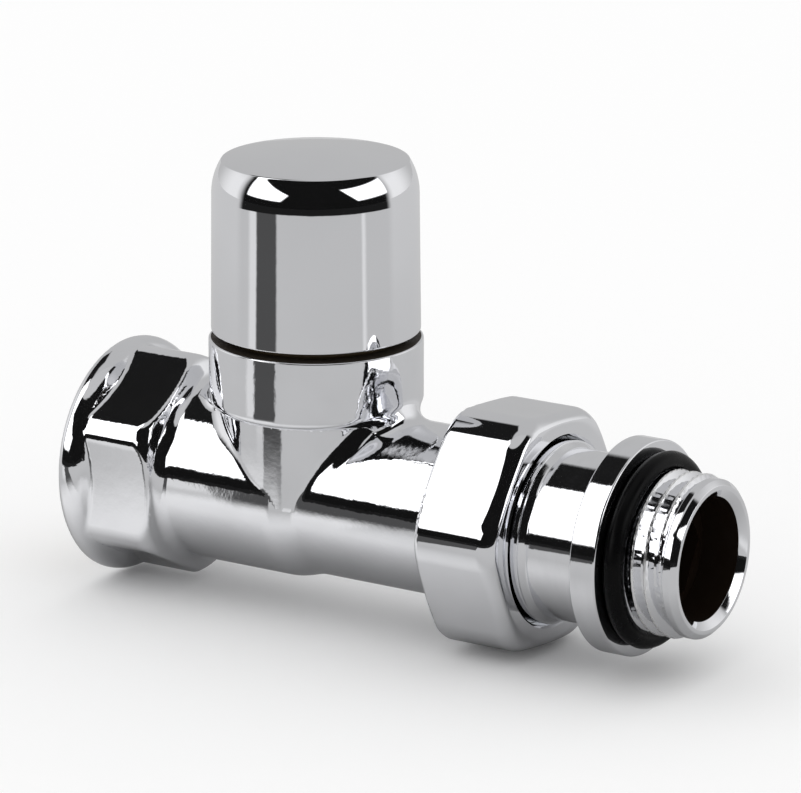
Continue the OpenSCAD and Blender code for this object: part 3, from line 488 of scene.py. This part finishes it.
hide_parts("valve_body")
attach(body, "valve")
chrome = (0.915, 0.92, 0.945)
body.data.materials.clear()
body.data.materials.append(finish_paint("chromed_forging", chrome, 1.0, 0.03, 640, 0.045))
body.data.materials.append(finish_paint("drilled_brass", (0.60, 0.43, 0.20), 1.0, 0.25, 3000, 0.004))
# Painted shade: the top of the boss, in the gap under the knob, is coloured near-black.
body.data.materials.append(finish_paint("gap_shade_rim", (0.05, 0.04, 0.03), 0.5, 0.45, 3000, 0.006))
for face in body.data.polygons:
    x, y, z = face.center / mm
    if (math.hypot(y, z) < 10.6 and x > -0.97) or (math.hypot(x - spindle_x, y) < 10.6 and z > 0):
        face.material_index = 1
    # Faces at the top of the boss, inside the gap under the knob, get the painted shade.
    elif math.hypot(x - spindle_x, y) < 13.45 and z > 20.2:
        face.material_index = 2


# Headwork
# Hidden in the body and the knob: turned brass pieces, rubber rings, a steel clip, screw and spring
# ring, and plastic washer and insert.
finishes = {
    # Painted shade: the bonnet's brass is coloured near-black so that the gap under the knob reads dark.
    "gap_shade_brass": finish_paint("gap_shade_brass", (0.09, 0.065, 0.035), 0.6, 0.45, 3000, 0.006),
    "turned_brass": finish_paint("turned_brass", (0.72, 0.53, 0.24), 1.0, 0.22, 4000, 0.004, (1, 1, 5)),
    "zinc_steel": finish_paint("zinc_steel", (0.60, 0.62, 0.65), 1.0, 0.28, 3000, 0.004),
    "ring_rubber": finish_paint("ring_rubber", (0.002, 0.002, 0.0022), 0.0, 0.24, 2500, 0.008, shine=0.09),
    "natural_nylon": finish_paint("natural_nylon", (0.80, 0.78, 0.72), 0.0, 0.42, 2000, 0.008),
}
headwork = {
    "gap_shade_brass": ["bonnet"],
    "turned_brass": ["gland_nut", "spindle", "plug_carrier", "seal_washer"],
    "zinc_steel": ["spindle_circlip", "seal_screw", "knob_spring_ring", "union_split_ring"],
    "ring_rubber": ["bonnet_o_ring", "spindle_o_ring_lower", "spindle_o_ring_upper", "plug_seal",
                    "spigot_o_ring"],
    "natural_nylon": ["thrust_washer", "knob_insert"],
}
for finish, names in headwork.items():
    for name in names:
        for place in bpy.data.objects[name].material_slots:
            place.material = finishes[finish]


# Knob
# A drawn brass cap, polished and chrome plated. Its wall narrows a little to the top, and its crowned
# top runs into the wall in a soft edge. It snaps on a plastic insert on the spindle.
def even_normals(piece):
    """Lets the large faces of a turned piece keep their true slope up to their edges."""
    modify(piece, "WEIGHTED_NORMAL", keep_sharp=True, weight=80)


knob_edge = [(39.2 + 8.12 * math.sin(a), 5.18 + 8.12 * math.cos(a), 0)
             for a in np.radians(np.linspace(0, 31.5, 33))]
knob_crown = [(44.6 - 0.0068 * r * r, r, 0) for r in (11.4, 10.5, 9, 7, 5, 3, 1.5, 0.5, 0)]
knob_outline = eased([(21.3, 12.0, 0.1), (21.3, 13.5, 0.25), (30, 13.4, 0)] + knob_edge
                     + [(43.62, 12.0, 0.3)] + knob_crown + [
    (42.85, 0, 0), (42.85, 11.2, 2.7), (39.6, 11.85, 0)])
knob = turned("knob_cap", knob_outline, axis="Z", steps=192)
smooth(knob)
even_normals(knob)
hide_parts("knob_shell")
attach(knob, "knob")
knob.data.materials.append(finish_paint("chromed_cap", chrome, 1.0, 0.025, 260, 0.022))


# Union nut
# Turned from hexagonal brass bar, chamfered at both ends, ground, polished until its edges are soft,
# and chrome plated. The thread inside draws it along the body.
def nut_form(place):
    """How far a place lies outside the nut's blank, in mm."""
    x, y, z = place[:, 0] - 54.2, place[:, 1], place[:, 2]
    r = np.hypot(y, z)
    flats = [y * math.cos(t) + z * math.sin(t) - 15 for t in np.radians(np.arange(6) * 60 + 30 - 5.5)]
    nut = flats[0]
    for flat in flats[1:]:
        nut = bounded(nut, flat, 3.2)
    nut = bounded(nut, 0.915 * (x - 11.7) + 0.4036 * (r - 14.6), 1.5)
    nut = bounded(nut, -0.915 * x + 0.4036 * (r - 15.6), 0.6)
    return bounded(bounded(nut, x - 11.7, 0.3), -x, 0.4)


begin_piece()
bpy.ops.mesh.primitive_cylinder_add(vertices=6, radius=17 * mm, depth=11.5 * mm, location=(60.05 * mm, 0, 0),
                                    rotation=(0, math.radians(90), 0))
nut = bpy.context.object
nut.name = "union_nut_hexagon"
bpy.ops.object.transform_apply(location=True, rotation=True, scale=True)
ground(nut, nut_form, 0.21)
nut_bore = turned("nut_bore", [(53, 0), (53, 13.68), (54.2, 13.68), (54.6, 13.28), (63.6, 13.28), (63.6, 12.15),
                               (65.6, 12.15), (65.9, 12.45), (67, 12.45), (67, 0)])
cut(nut, nut_bore)
smooth(nut, 32)
true_slope(nut, nut_form)
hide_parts("union_nut")
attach(nut, "union_nut")
nut.data.materials.clear()
nut.data.materials.append(finish_paint("chromed_nut", chrome, 1.0, 0.025, 500, 0.012))

# Tailpiece
# Turned brass, chrome plated: a spigot, a grooved collar, the tube, the wall flange, a short pipe thread
# with notched crests that hold the sealing hemp, a plain lead-in, and a hexagonal socket in the bore.
tail_outline = eased([
    (56.2, 6, 0), (56.2, 8.3, 0.4), (58, 8.3, 0.1), (58, 7.1, 0), (59.8, 7.1, 0), (59.8, 8.3, 0.1), (61.6, 8.3, 0),
    (61.6, 11.75, 0.25), (62.15, 11.75, 0), (62.15, 11, 0), (63.45, 11, 0), (63.45, 11.75, 0),
    (66.75, 11.75, 0.12), (66.8, 11.5, 0), (67.5, 10.95, 0.5), (75.4, 10.95, 0.2), (75.4, 13.75, 0.25),
    (79, 13.75, 0.25), (79, 9.9, 0), (81.2, 9.9, 0), (81.4, 9.35, 0), (86.1, 9.35, 0.1), (86.5, 10.1, 0.2),
    (87.5, 10.1, 0.4), (88.2, 9.4, 0.12), (88.2, 8.85, 0.1), (87.4, 7.87, 0.1), (82.2, 7.87, 0), (82.2, 6, 0)])
tail = turned("turned_tailpiece", tail_outline, steps=192)
crest = [(-0.85, 9.2), (-0.19, 10.34), (-0.11, 10.45), (0, 10.478), (0.11, 10.45), (0.19, 10.34), (0.85, 9.2)]
ridge = thread_ridge("pipe_thread", crest, 1.814, 80.1, 3.35, 144, run_out=0.2)
for v in ridge.data.vertices:
    if v.index % len(crest) in (2, 3, 4) and (v.index // len(crest)) % 3 == 0:
        r = math.hypot(v.co.y, v.co.z)
        v.co.y, v.co.z = v.co.y * (1 - 0.14 * mm / r), v.co.z * (1 - 0.14 * mm / r)
begin_piece()
bpy.ops.mesh.primitive_cylinder_add(vertices=6, radius=6.93 * mm, depth=11 * mm, location=(77.7 * mm, 0, 0),
                                    rotation=(0, math.radians(90), 0))
key_broach = bpy.context.object
bpy.ops.object.transform_apply(location=True, rotation=True, scale=True)
cut(tail, key_broach)
join_solids(tail, ridge)
smooth(tail, 32)
even_normals(tail)
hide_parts("tailpiece")
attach(tail, "tail")
tail.data.materials.clear()
tail.data.materials.append(finish_paint("chromed_turning", chrome, 1.0, 0.035, 900, 0.010, (3, 1, 1)))
# Painted shade: inside the bore the turning is coloured near-black, so that the hole reads dark.
tail.data.materials.append(finish_paint("bore_painted_dark", (0.012, 0.007, 0.004), 0.3, 0.35, 2500, 0.006, (3, 1, 1), 0.2))
tail.data.materials.append(finish_paint("notched_crests", (0.97, 0.97, 0.98), 1.0, 0.24, 1500, 0.02))
for face in tail.data.polygons:
    x, y, z = face.center / mm
    # Faces inside the bore, short of the countersink, get the painted shade.
    if math.hypot(y, z) < 7.95 and 62 < x < 87.36:
        face.material_index = 1
    elif math.hypot(y, z) > 10.3 and 81 < x < 86.6:
        face.material_index = 2

# Sealing ring at the flange
# Moulded black rubber of round section, with the fine parting line of its mould. It is stretched over
# the tailpiece's seat, against the flange.
ring_outline = [(80.3 + (1.3 + (0.03 if k in (0, 24) else 0)) * math.cos(math.radians(7.5 * k + 90)),
                 11.2 + (1.3 + (0.03 if k in (0, 24) else 0)) * math.sin(math.radians(7.5 * k + 90)))
                for k in range(48)]
wall_ring = turned("sealing_ring", ring_outline, steps=160)
smooth(wall_ring, 60)
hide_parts("tail_o_ring")
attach(wall_ring, "tail")
wall_ring.data.materials.append(finishes["ring_rubber"])
